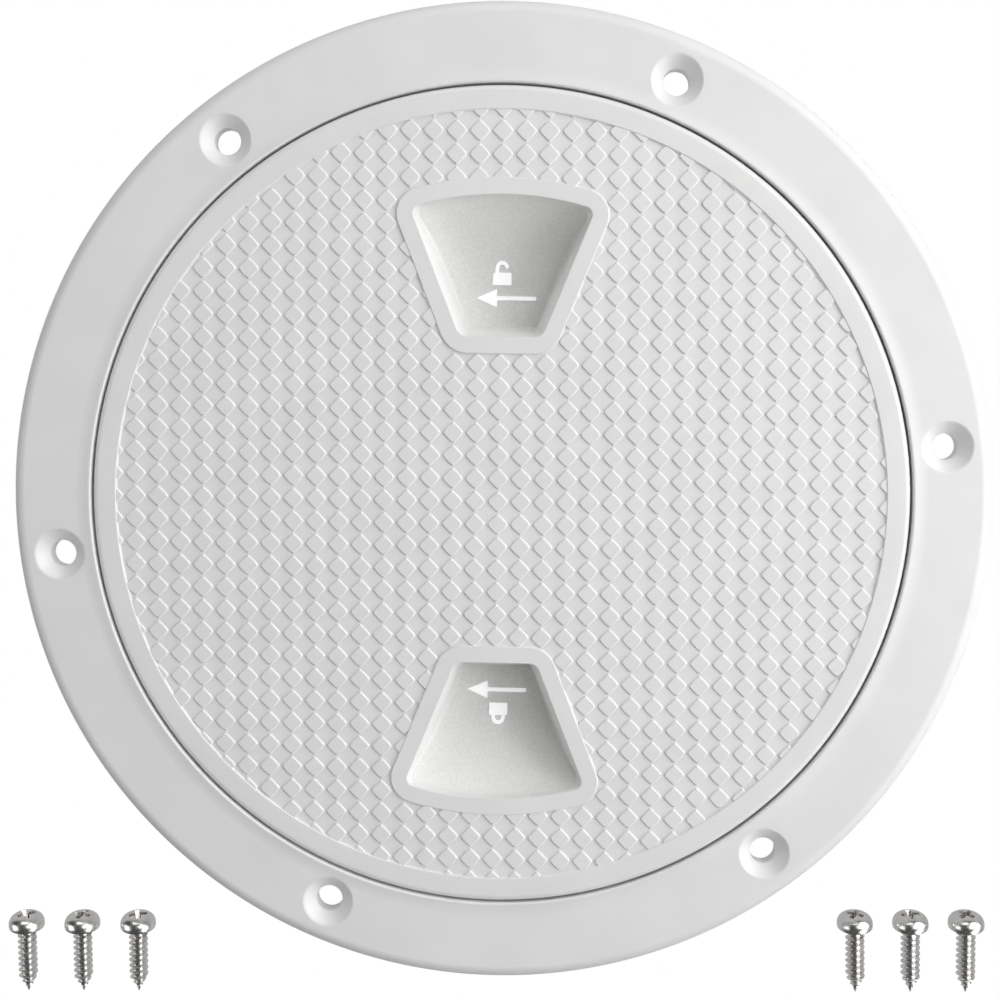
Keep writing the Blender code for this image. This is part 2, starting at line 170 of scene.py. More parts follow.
MARK_HEIGHT = 0.25               # the operating marks stand proud of the well's floor
MARK_SUNK = 0.3
LOCK_PLACES = {1: (-0.24, 46.5), -1: (0.3, -46.1)}
ARROW_PLACES = {1: (0.75, 41.6), -1: (-0.03, -41.1)}
ARROW_LENGTH = 12.3

SCREW_HEAD_RADIUS = 3.95
SCREW_HEAD_HEIGHT = 3.1
SCREW_ROUNDING = 0.05            # what the fine facets add beyond the CAD screw's coarse ones
SCREW_RIM_HEIGHT = 0.9
SCREW_LENGTH = 16.0
SCREW_CORE_RADIUS = 1.45
SCREW_THREAD_RADIUS = 2.1
SCREW_PITCH = 1.4
SCREW_POINT_LENGTH = 4.0
RECESS_DEPTH = 2.0
RECESS_HALF_LENGTH = 2.1
RECESS_HALF_WIDTH = 0.55
SCREW_SPIN = radians(37)
SCREW_ROWS = [
    (-93.05, -96.4, 12.68, radians(1.5), radians(-1.7)),
    (91.95, -91.4, 12.2, radians(1.5), radians(3.9)),
]


# Mesh helpers -------------------------------------------------------------------------
def new_object(name, bm, smooth_angle=radians(32)):
    """Turn a bmesh in millimetres into a linked object in metres, its faces pointing out."""
    bmesh.ops.scale(bm, vec=(MM, MM, MM), verts=bm.verts)
    bmesh.ops.recalc_face_normals(bm, faces=bm.faces)
    mesh = bpy.data.meshes.new(name)
    bm.to_mesh(mesh)
    bm.free()
    mesh.shade_smooth()
    mesh.set_sharp_from_angle(angle=smooth_angle)
    obj = bpy.data.objects.new(name, mesh)
    bpy.context.scene.collection.objects.link(obj)
    return obj


def combine(target, steps, smooth_angle=radians(32)):
    """Join or cut helper solids, given as (operation, bmesh), and keep only the result."""
    helpers = []
    for number, (operation, bm) in enumerate(steps):
        helper = new_object(f"{target.name}_helper_{number}", bm)
        modifier = target.modifiers.new(helper.name, "BOOLEAN")
        modifier.operation = operation
        modifier.solver = "EXACT"
        modifier.object = helper
        helpers.append(helper)
    evaluated = target.evaluated_get(bpy.context.evaluated_depsgraph_get())
    mesh = bpy.data.meshes.new_from_object(evaluated)
    target.modifiers.clear()
    target.data = mesh
    mesh.shade_smooth()
    mesh.set_sharp_from_angle(angle=smooth_angle)
    for helper in helpers:
        bpy.data.objects.remove(helper, do_unlink=True)


def even_shading(obj):
    """Let large flat faces keep their own normal beside small rounded edges."""
    modifier = obj.modifiers.new("even_shading", "WEIGHTED_NORMAL")
    modifier.mode = "FACE_AREA"
    modifier.keep_sharp = True


def join_rings(bm, rings, closed=True):
    """Bridge successive rings of vertices with quads; a ring of one vertex is a pole."""
    pairs = list(zip(rings, rings[1:]))
    if closed:
        pairs.append((rings[-1], rings[0]))
    for first, second in pairs:
        count = max(len(first), len(second))
        for i in range(count):
            j = (i + 1) % count
            corners = [first[i % len(first)], first[j % len(first)]]
            corners += [second[j % len(second)], second[i % len(second)]]
            unique = list(dict.fromkeys(corners))
            if len(unique) > 2:
                bm.faces.new(unique)


def turned(profile, steps=ROUND_STEPS):
    """Revolve (radius, z) points about Z. A closed loop off the axis makes a ring."""
    bm = bmesh.new()
    rings = []
    for radius, z in profile:
        if radius == 0:
            rings.append([bm.verts.new((0, 0, z))])
            continue
        angles = [2 * pi * i / steps for i in range(steps)]
        rings.append([bm.verts.new((radius * cos(a), radius * sin(a), z)) for a in angles])
    join_rings(bm, rings, closed=profile[0][0] != 0)
    return bm


def open_bowl(profile, steps=64):
    """Revolve (radius, z) points that start on the axis, left open at the outer edge."""
    bm = bmesh.new()
    rings = [[bm.verts.new((0, 0, profile[0][1]))]]
    for radius, z in profile[1:]:
        angles = [2 * pi * i / steps for i in range(steps)]
        rings.append([bm.verts.new((radius * cos(a), radius * sin(a), z)) for a in angles])
    join_rings(bm, rings, closed=False)
    return bm


def arc(centre, radius, start, end, count):
    """Points of a circular arc from one angle to another, in degrees."""
    angles = [radians(start + (end - start) * i / (count - 1)) for i in range(count)]
    return [(centre[0] + radius * cos(a), centre[1] + radius * sin(a)) for a in angles]


def add_copy(bm, other):
    mesh = bpy.data.meshes.new("copy")
    other.to_mesh(mesh)
    other.free()
    bm.from_mesh(mesh)
    bpy.data.meshes.remove(mesh)


def lofted(loops):
    """A closed solid through loops of (x, y, z) points, capped at both ends."""
    bm = bmesh.new()
    rings = [[bm.verts.new(p) for p in loop] for loop in loops]
    join_rings(bm, rings, closed=False)
    bm.faces.new(rings[0])
    bm.faces.new(rings[-1])
    return bm


def in_both_wells(make, *args):
    """The solid at +Y and its twin, half a turn round, at -Y."""
    bm = make(*args)
    twin = make(*args)
    bmesh.ops.rotate(twin, cent=(0, 0, 0), matrix=Matrix.Rotation(pi, 3, "Z"), verts=twin.verts)
    add_copy(bm, twin)
    return bm


# Threads ------------------------------------------------------------------------------
def add_ridge(bm, wall_radius, tip_radius, start_angle, span, start_z):
    """One helical thread ridge with rounded shoulders, running in and out at its ends."""
    steps = round(span / THREAD_STEP)
    inward = 1 if tip_radius > wall_radius else -1
    half_root, half_tip = THREAD_ROOT_WIDTH / 2, THREAD_TIP_WIDTH / 2
    rings = []
    for i in range(steps + 1):
        turn = span * i / steps
        angle = start_angle + turn
        z = start_z + THREAD_LEAD * turn / (2 * pi)
        taper = min(1.0, 0.1 + min(turn, span - turn) / THREAD_RUN_IN)
        tip = wall_radius + (tip_radius - wall_radius) * taper
        shoulder = tip - inward * 0.18 * taper
        base = wall_radius - inward * THREAD_OVERLAP
        half = [(base, half_root), (shoulder, half_tip + 0.12), (tip, half_tip - 0.12)]
        section = [(r, -dz) for r, dz in half] + [(r, dz) for r, dz in reversed(half)]
        rings.append([bm.verts.new((r * cos(angle), r * sin(angle), z + dz)) for r, dz in section])
    join_rings(bm, rings, closed=False)
    bm.faces.new(rings[0])
    bm.faces.new(rings[-1])


def thread_ridges(wall_radius, tip_radius, first_angle, span, start_z):
    bm = bmesh.new()
    for start in range(THREAD_STARTS):
        angle = first_angle + 2 * pi * start / THREAD_STARTS
        add_ridge(bm, wall_radius, tip_radius, angle, span, start_z)
    return bm


# Deck ring ----------------------------------------------------------------------------
def lip_slope(count=7):
    """The hollow slope from the raised inner lip down to the flange's flat top."""
    start = RIM_BORE_RADIUS + LIP_EDGE
    width = LIP_WIDTH - LIP_EDGE
    shares = [i / count for i in range(1, count + 1)]
    return [(start + width * s, FLANGE_TOP * (1 - (1 - s) ** 2)) for s in shares]


def ring_profile():
    outer, small = FLANGE_EDGE_RADIUS, SMALL_EDGE
    edge = (FLANGE_RADIUS - outer, FLANGE_TOP - outer)
    return [
        (RIM_BORE_RADIUS, LEDGE_Z),
        *arc((RIM_BORE_RADIUS + LIP_EDGE, -LIP_EDGE), LIP_EDGE, 180, 90, 5),
        *lip_slope(),
        *arc(edge, outer, 90, 0, 12),
        *arc((FLANGE_RADIUS - small, FLANGE_BOTTOM + small), small, 0, -90, 4),
        (CUP_RADIUS, FLANGE_BOTTOM),
        *arc((CUP_RADIUS - small, CUP_BOTTOM + small), small, 0, -90, 4),
        (COLLAR_RADIUS, CUP_BOTTOM),
        *arc((COLLAR_RADIUS - small, COLLAR_BOTTOM + small), small, 0, -90, 4),
        *arc((THREAD_BORE_RADIUS + small, COLLAR_BOTTOM + small), small, -90, -180, 4),
        (THREAD_BORE_RADIUS, LEDGE_Z),
    ]


def screw_holes():
    """Cutters for the six countersunk holes, each with a softly rounded mouth."""
    slope = (COUNTERSINK_DIAMETER - HOLE_DIAMETER) / 2 / COUNTERSINK_DEPTH
    mouth = COUNTERSINK_DIAMETER / 2
    edge = COUNTERSINK_EDGE
    profile = [
        (0, FLANGE_BOTTOM - 1),
        (HOLE_DIAMETER / 2, FLANGE_BOTTOM - 1),
        (HOLE_DIAMETER / 2, FLANGE_TOP - COUNTERSINK_DEPTH),
        (mouth - edge * slope, FLANGE_TOP - edge),
        (mouth - edge * slope * 0.35, FLANGE_TOP - edge * 0.45),
        (mouth + edge * 0.25, FLANGE_TOP - edge * 0.12),
        (mouth + edge * 0.9, FLANGE_TOP + edge * 0.05),
        (mouth + edge * 0.9, FLANGE_TOP + 1),
        (0, FLANGE_TOP + 1),
    ]
    cutters = bmesh.new()
    for i in range(HOLE_COUNT):
        angle = HOLE_FIRST_ANGLE + 2 * pi * i / HOLE_COUNT
        hole = turned(profile, steps=72)
        place = (HOLE_CIRCLE_RADIUS * cos(angle), HOLE_CIRCLE_RADIUS * sin(angle), 0)
        bmesh.ops.translate(hole, vec=place, verts=hole.verts)
        add_copy(cutters, hole)
    return cutters


def make_deck_ring():
    ring = new_object("hatch_deck_ring", turned(ring_profile()))
    start_z = LID_THREAD_START_Z + COLLAR_THREAD_RISE
    start_z += THREAD_LEAD * COLLAR_THREAD_FROM / (2 * pi)
    thread = thread_ridges(
        THREAD_BORE_RADIUS,
        COLLAR_THREAD_TIP_RADIUS,
        COLLAR_THREAD_FROM,
        COLLAR_THREAD_SPAN,
        start_z,
    )
    combine(ring, [("UNION", thread), ("DIFFERENCE", screw_holes())])
    even_shading(ring)
    return ring


# Finger wells -------------------------------------------------------------------------
OUTER_CORNER_Y = sqrt(WELL_OUTER_RADIUS**2 - WELL_OUTER_HALF_WIDTH**2)
WELL_LEAN = atan2(WELL_OUTER_HALF_WIDTH - WELL_INNER_HALF_WIDTH, OUTER_CORNER_Y - WELL_INNER_Y)


def beside_wall(y, inset):
    """X of the point this far inside the right-hand wall's line."""
    along = WELL_INNER_HALF_WIDTH + (y - WELL_INNER_Y) * tan(WELL_LEAN)
    return along - inset / cos(WELL_LEAN)


def well_corners(grow):
    """(x, y, radius) of the right-hand rounded corners of the outline grown by this much."""
    radius = max(WELL_INNER_CORNER + grow, WELL_TIGHTEST_CORNER)
    y = WELL_INNER_Y - grow + radius
    inner = (beside_wall(y, radius - grow), y, radius)
    radius = max(WELL_OUTER_CORNER + grow, WELL_TIGHTEST_CORNER)
    reach = WELL_OUTER_RADIUS + grow - radius
    y = OUTER_CORNER_Y
    for _ in range(30):
        y = sqrt(reach**2 - beside_wall(y, radius - grow) ** 2)
    return inner, (beside_wall(y, radius - grow), y, radius)


def well_outline(grow, corner_steps=5, end_steps=16, side_steps=28):
    """The well's outline as four sides of (x, y, outward normal), split mid-corner.

    The order is straight end, right side, curved end, left side, all the way round.
    """
    (inner_x, inner_y, inner_r), (outer_x, outer_y, outer_r) = well_corners(grow)
    wall_angle = -WELL_LEAN
    outer_angle = atan2(outer_y, outer_x)
    inner_mid = (wall_angle - pi / 2) / 2
    outer_mid = (wall_angle + outer_angle) / 2

    def on_arc(x, y, radius, start, end, steps):
        angles = [start + (end - start) * i / steps for i in range(steps)]
        return [(x + radius * cos(a), y + radius * sin(a), cos(a), sin(a)) for a in angles]

    def straight(start, end, normal, steps, crowd=1.0):
        shares = [1 - (1 - i / steps) ** crowd for i in range(steps)]
        points = [[a + (b - a) * s for a, b in zip(start, end)] for s in shares]
        return [(x, y, *normal) for x, y in points]

    normal = (cos(wall_angle), sin(wall_angle))
    wall_start = (inner_x + inner_r * normal[0], inner_y + inner_r * normal[1])
    wall_end = (outer_x + outer_r * normal[0], outer_y + outer_r * normal[1])
    left_end = (-inner_x, inner_y - inner_r)
    right_end = (inner_x, inner_y - inner_r)
    end = on_arc(-inner_x, inner_y, inner_r, -pi - inner_mid, -pi / 2, corner_steps)
    end += straight(left_end, right_end, (0, -1), end_steps)
    end += on_arc(inner_x, inner_y, inner_r, -pi / 2, inner_mid, corner_steps)
    right = on_arc(inner_x, inner_y, inner_r, inner_mid, wall_angle, corner_steps)
    right += straight(wall_start, wall_end, normal, side_steps, crowd=1.5)
    right += on_arc(outer_x, outer_y, outer_r, wall_angle, outer_mid, corner_steps)
    curve = on_arc(outer_x, outer_y, outer_r, outer_mid, outer_angle, corner_steps)
    radius = WELL_OUTER_RADIUS + grow
    curve += on_arc(0, 0, radius, outer_angle, pi - outer_angle, end_steps)
    curve += on_arc(-outer_x, outer_y, outer_r, pi - outer_angle, pi - outer_mid, corner_steps)
    start = right[1:] + [curve[0]]
    left = [(-x, y, -nx, ny) for x, y, nx, ny in reversed(start)]
    return end, right, curve, left


def well_share(x, y):
    """0 at the well's straight end, 1 at its curved end."""
    outer_y = sqrt(max(1.0, WELL_OUTER_RADIUS**2 - x**2))
    return min(1.0, max(0.0, (y - WELL_INNER_Y) / (outer_y - WELL_INNER_Y)))


def well_depth(x, y):
    """Depth of the well's floor: deepest at the straight end, scooping up to the other."""
    scoop = sqrt(max(0.0, 1 - well_share(x, y) ** WELL_SCOOP_POWER))
    return WELL_LIP_DEPTH + (WELL_DEPTH - WELL_LIP_DEPTH) * scoop


def leaning_sides(grow):
    """The outline's sides as (x, y, way out), each way out leading from the drawn-in outline."""
    sides = []
    for side, drawn_in in zip(well_outline(grow), well_outline(grow - WELL_INSET)):
        pairs = [(a[:2], b[:2]) for a, b in zip(side, drawn_in)]
        out = [(*a, *((p - q) / WELL_INSET for p, q in zip(a, b))) for a, b in pairs]
        sides.append(out)
    return sides


def wall_section(point, grow, top):
    """A wall's section at an outline point: (x, y, z) from its rim to the floor's edge."""
    x, y, nx, ny = point
    share = well_share(x, y)
    fillet = (WELL_FILLET + WELL_FILLET_GROWTH * share**2) * (1 - share**5)
    draft = WELL_END_DRAFT + (WELL_DRAFT - WELL_END_DRAFT) * min(1.0, abs(nx))
    draft *= well_depth(x, y) / WELL_DEPTH
    foot_x, foot_y = x - nx * (draft + fillet), y - ny * (draft + fillet)
    depth = well_depth(foot_x, foot_y) + grow
    bend = min(fillet, depth * 0.6)
    rows = [(-WELL_EDGE, top), (-WELL_EDGE, 0.03), (-WELL_EDGE * 0.62, -0.06)]
    rows += [(-WELL_EDGE * 0.2, -0.2), (0.0, -0.42)]
    if grow:
        rows = [(0.0, top)]
    straight_end = depth - bend
    first = -rows[-1][1]
    for i in (1, 2, 3):
        down = first + (straight_end - first) * i / 3
        rows.append((draft * (down - first) / (depth - first), -down))
    start = rows[-1]
    corner = (draft, -depth)
    finish = (draft + fillet, -depth)
    for i in range(1, 7):
        s = i / 6
        rows.append(
            tuple(
                (1 - s) ** 2 * a + 2 * s * (1 - s) * b + s**2 * c
                for a, b, c in zip(start, corner, finish)
            )
        )
    return [(x - nx * inset, y - ny * inset, z) for inset, z in rows]


def well_solid(grow, top):
    """The space of the well at +Y, or with grow the pod moulded around it."""
    bm = bmesh.new()
    sides = leaning_sides(grow)
    outline = [point for side in sides for point in side]
    sections = [wall_section(point, grow, top) for point in outline]
    loops = [[bm.verts.new(p) for p in level] for level in zip(*sections)]
    join_rings(bm, loops, closed=False)
    bm.faces.new(loops[0])

    # the floor is a grid stretched between the four sides of the lowest loop
    edge = loops[-1]
    ends, lengths = len(sides[0]), len(sides[1])
    south = edge[: ends + 1]
    east = edge[ends : ends + lengths + 1]
    north = list(reversed(edge[ends + lengths : 2 * ends + lengths + 1]))
    west = list(reversed(edge[2 * ends + lengths :] + edge[:1]))
    grid = []
    for j in range(lengths + 1):
        v = j / lengths
        row = []
        for i in range(ends + 1):
            u = i / ends
            if j == 0:
                row.append(south[i])
            elif j == lengths:
                row.append(north[i])
            elif i == 0:
                row.append(west[j])
            elif i == ends:
                row.append(east[j])
            else:
                place = (1 - v) * south[i].co + v * north[i].co
                place += (1 - u) * west[j].co + u * east[j].co
                place -= (1 - u) * ((1 - v) * south[0].co + v * north[0].co)
                place -= u * ((1 - v) * south[-1].co + v * north[-1].co)
                depth = well_depth(place.x, place.y) + grow
                row.append(bm.verts.new((place.x, place.y, -depth)))
        grid.append(row)
    for first, second in zip(grid, grid[1:]):
        for i in range(ends):
            bm.faces.new([first[i], first[i + 1], second[i + 1], second[i]])
    return bm


def outline_loop(grow, z):
    return [(x, y, z) for side in well_outline(grow) for x, y, _, _ in side]


def bezel_solid():
    """The smooth raised frame around a well, before the well is cut out of it."""
    field = -TREAD_RELIEF
    return lofted(
        [
            outline_loop(BEZEL_WIDTH + TREAD_SLOPE + 0.15, field - 0.5),
            outline_loop(BEZEL_WIDTH + TREAD_SLOPE, field),
            outline_loop(BEZEL_WIDTH + 0.06, -0.12),
            outline_loop(BEZEL_WIDTH, -0.04),
            outline_loop(BEZEL_WIDTH - 0.1, 0.0),
        ]
    )


# Lid ----------------------------------------------------------------------------------
def lid_profile():
    edge = LID_EDGE_RADIUS
    small = SMALL_EDGE
    inner_skirt = SKIRT_RADIUS - SKIRT_THICKNESS
    field = TREAD_FIELD_RADIUS
    return [
        (0, -TREAD_RELIEF),
        (field - TREAD_SLOPE, -TREAD_RELIEF),
        (field - 0.04, -0.12),
        (field + 0.03, -0.04),
        (field + 0.12, 0),
        *arc((LID_RADIUS - edge, -edge), edge, 90, 0, 9),
        (LID_RADIUS, -LID_RIM_THICKNESS),
        (SEAL_SEAT_RADIUS, -LID_RIM_THICKNESS),
        (SEAL_SEAT_RADIUS, SEAL_SEAT_BOTTOM),
        (SKIRT_RADIUS, SEAL_SEAT_BOTTOM),
        *arc((SKIRT_RADIUS - small, SKIRT_BOTTOM + small), small, 0, -90, 4),
        *arc((inner_skirt + small, SKIRT_BOTTOM + small), small, -90, -180, 4),
        (inner_skirt, -LID_RIM_THICKNESS),
        (0, -LID_RIM_THICKNESS),
    ]


def add_bar(bm, length_from, length_to, angle):
    """A radial rib between two radii."""
    corners = []
    for z in (RIB_BOTTOM, RIB_TOP):
        for x, side in ((length_from, -1), (length_to, -1), (length_to, 1), (length_from, 1)):
            y = side * RIB_THICKNESS / 2
            place = (x * cos(angle) - y * sin(angle), x * sin(angle) + y * cos(angle), z)
            corners.append(bm.verts.new(place))
    bm.faces.new(corners[:4])
    bm.faces.new(corners[4:])
    for i in range(4):
        j = (i + 1) % 4
        bm.faces.new([corners[i], corners[j], corners[4 + j], corners[4 + i]])


def ribs():
    bm = bmesh.new()
    hub_middle = (RIB_INNER_RADIUS + RIB_HUB_RADIUS) / 2
    for angle in RIB_ANGLES:
        add_bar(bm, hub_middle, SKIRT_RADIUS - SKIRT_THICKNESS / 2, angle)
    return bm


def hub_ring():
    profile = [
        (RIB_INNER_RADIUS, RIB_BOTTOM),
        (RIB_HUB_RADIUS, RIB_BOTTOM),
        (RIB_HUB_RADIUS, RIB_TOP),
        (RIB_INNER_RADIUS, RIB_TOP),
    ]
    return turned(profile, steps=64)


def diamond_loop(half_diagonal, corner, z):
    """A square standing on its corner, with each corner rounded off by three points."""
    loop = []
    for quarter in range(4):
        turn = quarter * pi / 2
        cut = corner / sqrt(2)
        for along, across in ((cut, -cut), (cut * 0.5, 0), (cut, cut)):
            x, y = half_diagonal - along, across
            loop.append((x * cos(turn) - y * sin(turn), x * sin(turn) + y * cos(turn), z))
    return loop


def diamond():
    """One raised diamond of the tread, rooted below the field it stands on."""
    middle = TREAD_DIAGONAL / 2
    slope = TREAD_SLOPE * sqrt(2) / 2
    edge = TREAD_TOP_EDGE
    return lofted(
        [
            diamond_loop(middle + slope * 1.4, TREAD_CORNER, -TREAD_RELIEF - 0.2),
            diamond_loop(middle + slope, TREAD_CORNER, -TREAD_RELIEF),
            diamond_loop(middle - slope * 0.75, TREAD_CORNER, -TREAD_DROP - edge),
            diamond_loop(middle - slope, TREAD_CORNER, -TREAD_DROP - edge * 0.3),
            diamond_loop(middle - slope * 1.35, TREAD_CORNER, -TREAD_DROP),
        ]
    )


def nearest_on_bezel(x, y, outline):
    """(distance outside the bezel, point, outward normal) for the nearest outline point."""
    px, py, nx, ny = min(outline, key=lambda p: (p[0] - x) ** 2 + (p[1] - y) ** 2)
    outside = (x - px) * nx + (y - py) * ny
    distance = hypot(x - px, y - py)
    return (distance if outside > 0 else -distance), (px, py), (nx, ny)


def support(nx, ny):
    """How far a diamond reaches from its middle along a direction."""
    return TREAD_DIAGONAL / 2 * max(abs(nx), abs(ny))


def cutting_planes(x, y, outline, reach):
    """Planes that trim the diamond at (x, y), or None where the border or a bezel covers it."""
    planes = []
    radius = hypot(x, y)
    if TREAD_FIELD_RADIUS - radius + support(x / max(radius, 1), y / max(radius, 1)) < TREAD_LEAST:
        return None
    if radius + reach > TREAD_FIELD_RADIUS - TREAD_SLOPE:
        stop = TREAD_FIELD_RADIUS + TREAD_MERGE
        planes.append(((x / radius * stop, y / radius * stop, 0), (x / radius, y / radius, 0)))
    side = 1 if y > 0 else -1
    outside, (px, py), (nx, ny) = nearest_on_bezel(side * x, side * y, outline)
    if outside + support(nx, ny) < TREAD_LEAST:
        return None
    if outside < reach:
        px, py = px - nx * TREAD_MERGE, py - ny * TREAD_MERGE
        planes.append(((side * px, side * py, 0), (-side * nx, -side * ny, 0)))
    return planes


def tread():
    """The raised diamonds, cut off where they run into the border and the bezels."""
    bm = bmesh.new()
    template = bpy.data.meshes.new("template")
    source = diamond()
    source.to_mesh(template)
    source.free()
    outline = [p for side in well_outline(BEZEL_WIDTH, 40, 160, 160) for p in side]
    reach = TREAD_DIAGONAL / 2 + TREAD_SLOPE
    count = ceil(TREAD_FIELD_RADIUS / TREAD_PITCH)
    for row in range(-count, count + 1):
        for column in range(-count, count + 1):
            x, y = TREAD_MIDDLE[0] + column * TREAD_PITCH, TREAD_MIDDLE[1] + row * TREAD_PITCH
            planes = cutting_planes(x, y, outline, reach)
            if planes is None:
                continue
            one = bmesh.new()
            one.from_mesh(template)
            bmesh.ops.translate(one, vec=(x, y, 0), verts=one.verts)
            for place, normal in planes:
                parts = one.verts[:] + one.edges[:] + one.faces[:]
                cut = bmesh.ops.bisect_plane(
                    one, geom=parts, plane_co=place, plane_no=normal, clear_outer=True
                )
                edges = [e for e in cut["geom_cut"] if isinstance(e, bmesh.types.BMEdge)]
                if edges:
                    bmesh.ops.holes_fill(one, edges=edges)
            if one.faces:
                mesh = bpy.data.meshes.new("one")
                one.to_mesh(mesh)
                bm.from_mesh(mesh)
                bpy.data.meshes.remove(mesh)
            one.free()
    bpy.data.meshes.remove(template)
    return bm


def join_mesh(target, bm):
    """Add closed solids, in millimetres, to a finished object's mesh."""
    bmesh.ops.recalc_face_normals(bm, faces=bm.faces)
    bmesh.ops.scale(bm, vec=(MM, MM, MM), verts=bm.verts)
    whole = bmesh.new()
    whole.from_mesh(target.data)
    add_copy(whole, bm)
    whole.to_mesh(target.data)
    whole.free()
    target.data.shade_smooth()
    target.data.set_sharp_from_angle(angle=radians(32))


def make_lid():
    lid = new_object("hatch_lid", turned(lid_profile()))
    thread = thread_ridges(
        SKIRT_RADIUS, LID_THREAD_TIP_RADIUS, 0.0, LID_THREAD_SPAN, LID_THREAD_START_Z
    )
    steps = [
        ("UNION", thread),
        ("UNION", in_both_wells(well_solid, WELL_WALL, WELL_POD_TOP)),
        ("UNION", ribs()),
        ("UNION", hub_ring()),
        ("UNION", in_both_wells(bezel_solid)),
        ("DIFFERENCE", in_both_wells(well_solid, 0.0, 1.0)),
    ]
    combine(lid, steps)
    join_mesh(lid, tread())
    even_shading(lid)
    return lid


# Operating marks ----------------------------------------------------------------------
def arrow_outline():
    """A plain arrow along -X, its middle at the origin."""
    tip, tail = -ARROW_LENGTH / 2, ARROW_LENGTH / 2
    neck, half_head, half_shaft = tip + 4.1, 1.8, 0.36
    return [
        (tip, 0),
        (neck, -half_head),
        (neck, -half_shaft),
        (tail, -half_shaft),
        (tail, half_shaft),
        (neck, half_shaft),
        (neck, half_head),
    ]


def padlock_outlines(opened):
    """A padlock's body and shackle as strips; an opened one has its shackle swung up."""
    half, body_top = 1.9, 0.25
    body = [(-half, -2.15), (half, -2.15), (half, body_top), (-half, body_top)]
    lift = 0.5 if opened else 0.0
    outer, inner, spring = 1.35, 0.72, body_top + 0.55 + lift
    foot = body_top - 0.1
    right_foot = spring if opened else foot
    shackle = [(-outer, foot), *arc((0, spring), outer, 180, 0, 13), (outer, right_foot)]
    shackle += [(inner, right_foot), *arc((0, spring), inner, 0, 180, 13), (-inner, foot)]
    return [body, list(dict.fromkeys(shackle))]


def add_mark(bm, outline, middle, turn):
    """Raise a flat outline on the well's floor, following the scoop."""
    flat = bmesh.new()
    flat.faces.new([flat.verts.new((x, y, 0)) for x, y in outline])
    bmesh.ops.rotate(flat, cent=(0, 0, 0), matrix=Matrix.Rotation(turn, 3, "Z"), verts=flat.verts)
    bmesh.ops.translate(flat, vec=middle, verts=flat.verts)
    bmesh.ops.triangulate(flat, faces=flat.faces[:])
    lowest = min(v.co.y for v in flat.verts)
    highest = max(v.co.y for v in flat.verts)
    y = lowest + 0.4
    while y < highest:
        parts = flat.verts[:] + flat.edges[:] + flat.faces[:]
        bmesh.ops.bisect_plane(flat, geom=parts, plane_co=(0, y, 0), plane_no=(0, 1, 0))
        y += 0.4
    lower = bmesh.ops.duplicate(flat, geom=flat.verts[:] + flat.edges[:] + flat.faces[:])
    twin = {k: v for k, v in lower["vert_map"].items() if isinstance(k, bmesh.types.BMVert)}
    under = {v for v in lower["geom"] if isinstance(v, bmesh.types.BMVert)}
    rims = [e for e in flat.edges if len(e.link_faces) == 1 and e.verts[0] not in under]
    for rim in rims:
        a, b = rim.verts
        flat.faces.new([a, b, twin[b], twin[a]])
    for v in flat.verts:
        floor = -well_depth(v.co.x, abs(v.co.y))
        v.co.z = floor - MARK_SUNK if v in under else floor + MARK_HEIGHT
    add_copy(bm, flat)


def make_marks():
    """An arrow and a padlock in each well: open at +Y, shut at -Y. Both arrows point to -X."""
    bm = bmesh.new()
    for side, turn in ((1, 0.0), (-1, pi)):
        add_mark(bm, arrow_outline(), (*ARROW_PLACES[side], 0), 0.0)
        for outline in padlock_outlines(opened=side > 0):
            add_mark(bm, outline, (*LOCK_PLACES[side], 0), turn)
    return new_object("hatch_lid_marks", bm)


# Seal ---------------------------------------------------------------------------------
def make_seal():
    """The O-ring, with the fine parting line left by its mould inside and outside."""
    radius = SEAL_SECTION / 2
    section = []
    for i in range(32):
        angle = 2 * pi * i / 32
        proud = SEAL_FLASH if i in (0, 16) else 0.0
        reach = radius - SEAL_FLASH + proud
        section.append((SEAL_CENTRE_RADIUS + reach * cos(angle), SEAL_CENTRE_Z + reach * sin(angle)))
    return new_object("hatch_lid_seal", turned(section))


# Screws -------------------------------------------------------------------------------
def thread_height(phase):
    """Share of the thread's height at a phase of 0 to 1: a flat root and a sharp crest."""
    from_crest = abs(phase - 0.5)
    return min(1.0, max(0.0, 1.12 - from_crest / 0.17))


def shank_point(turns, steps):
    """Point of the shank's helical grid, counted in steps of a turn and rows of a pitch."""
    index, row, rows = turns
    angle = -2 * pi * index / steps
    z = 0.7 - SCREW_PITCH * (row / rows + index / steps)
    to_tip = SCREW_LENGTH + z
    point = min(1.0, max(0.02, (to_tip + 0.15) / (SCREW_POINT_LENGTH + 0.15)))
    grown = min(1.0, max(0.0, (-0.7 - z) / 0.8))
    grown *= min(1.0, max(0.0, (to_tip - 0.5) / 1.0))
    height = (SCREW_THREAD_RADIUS - SCREW_CORE_RADIUS) * thread_height(row / rows % 1.0)
    radius = (SCREW_CORE_RADIUS + height * grown) * point
    if z > -0.7:
        radius += 0.15 * min(1.0, (z + 0.7) / 0.3)
    return radius * cos(angle), radius * sin(angle), max(z, SCREW_ROUNDING - SCREW_LENGTH)


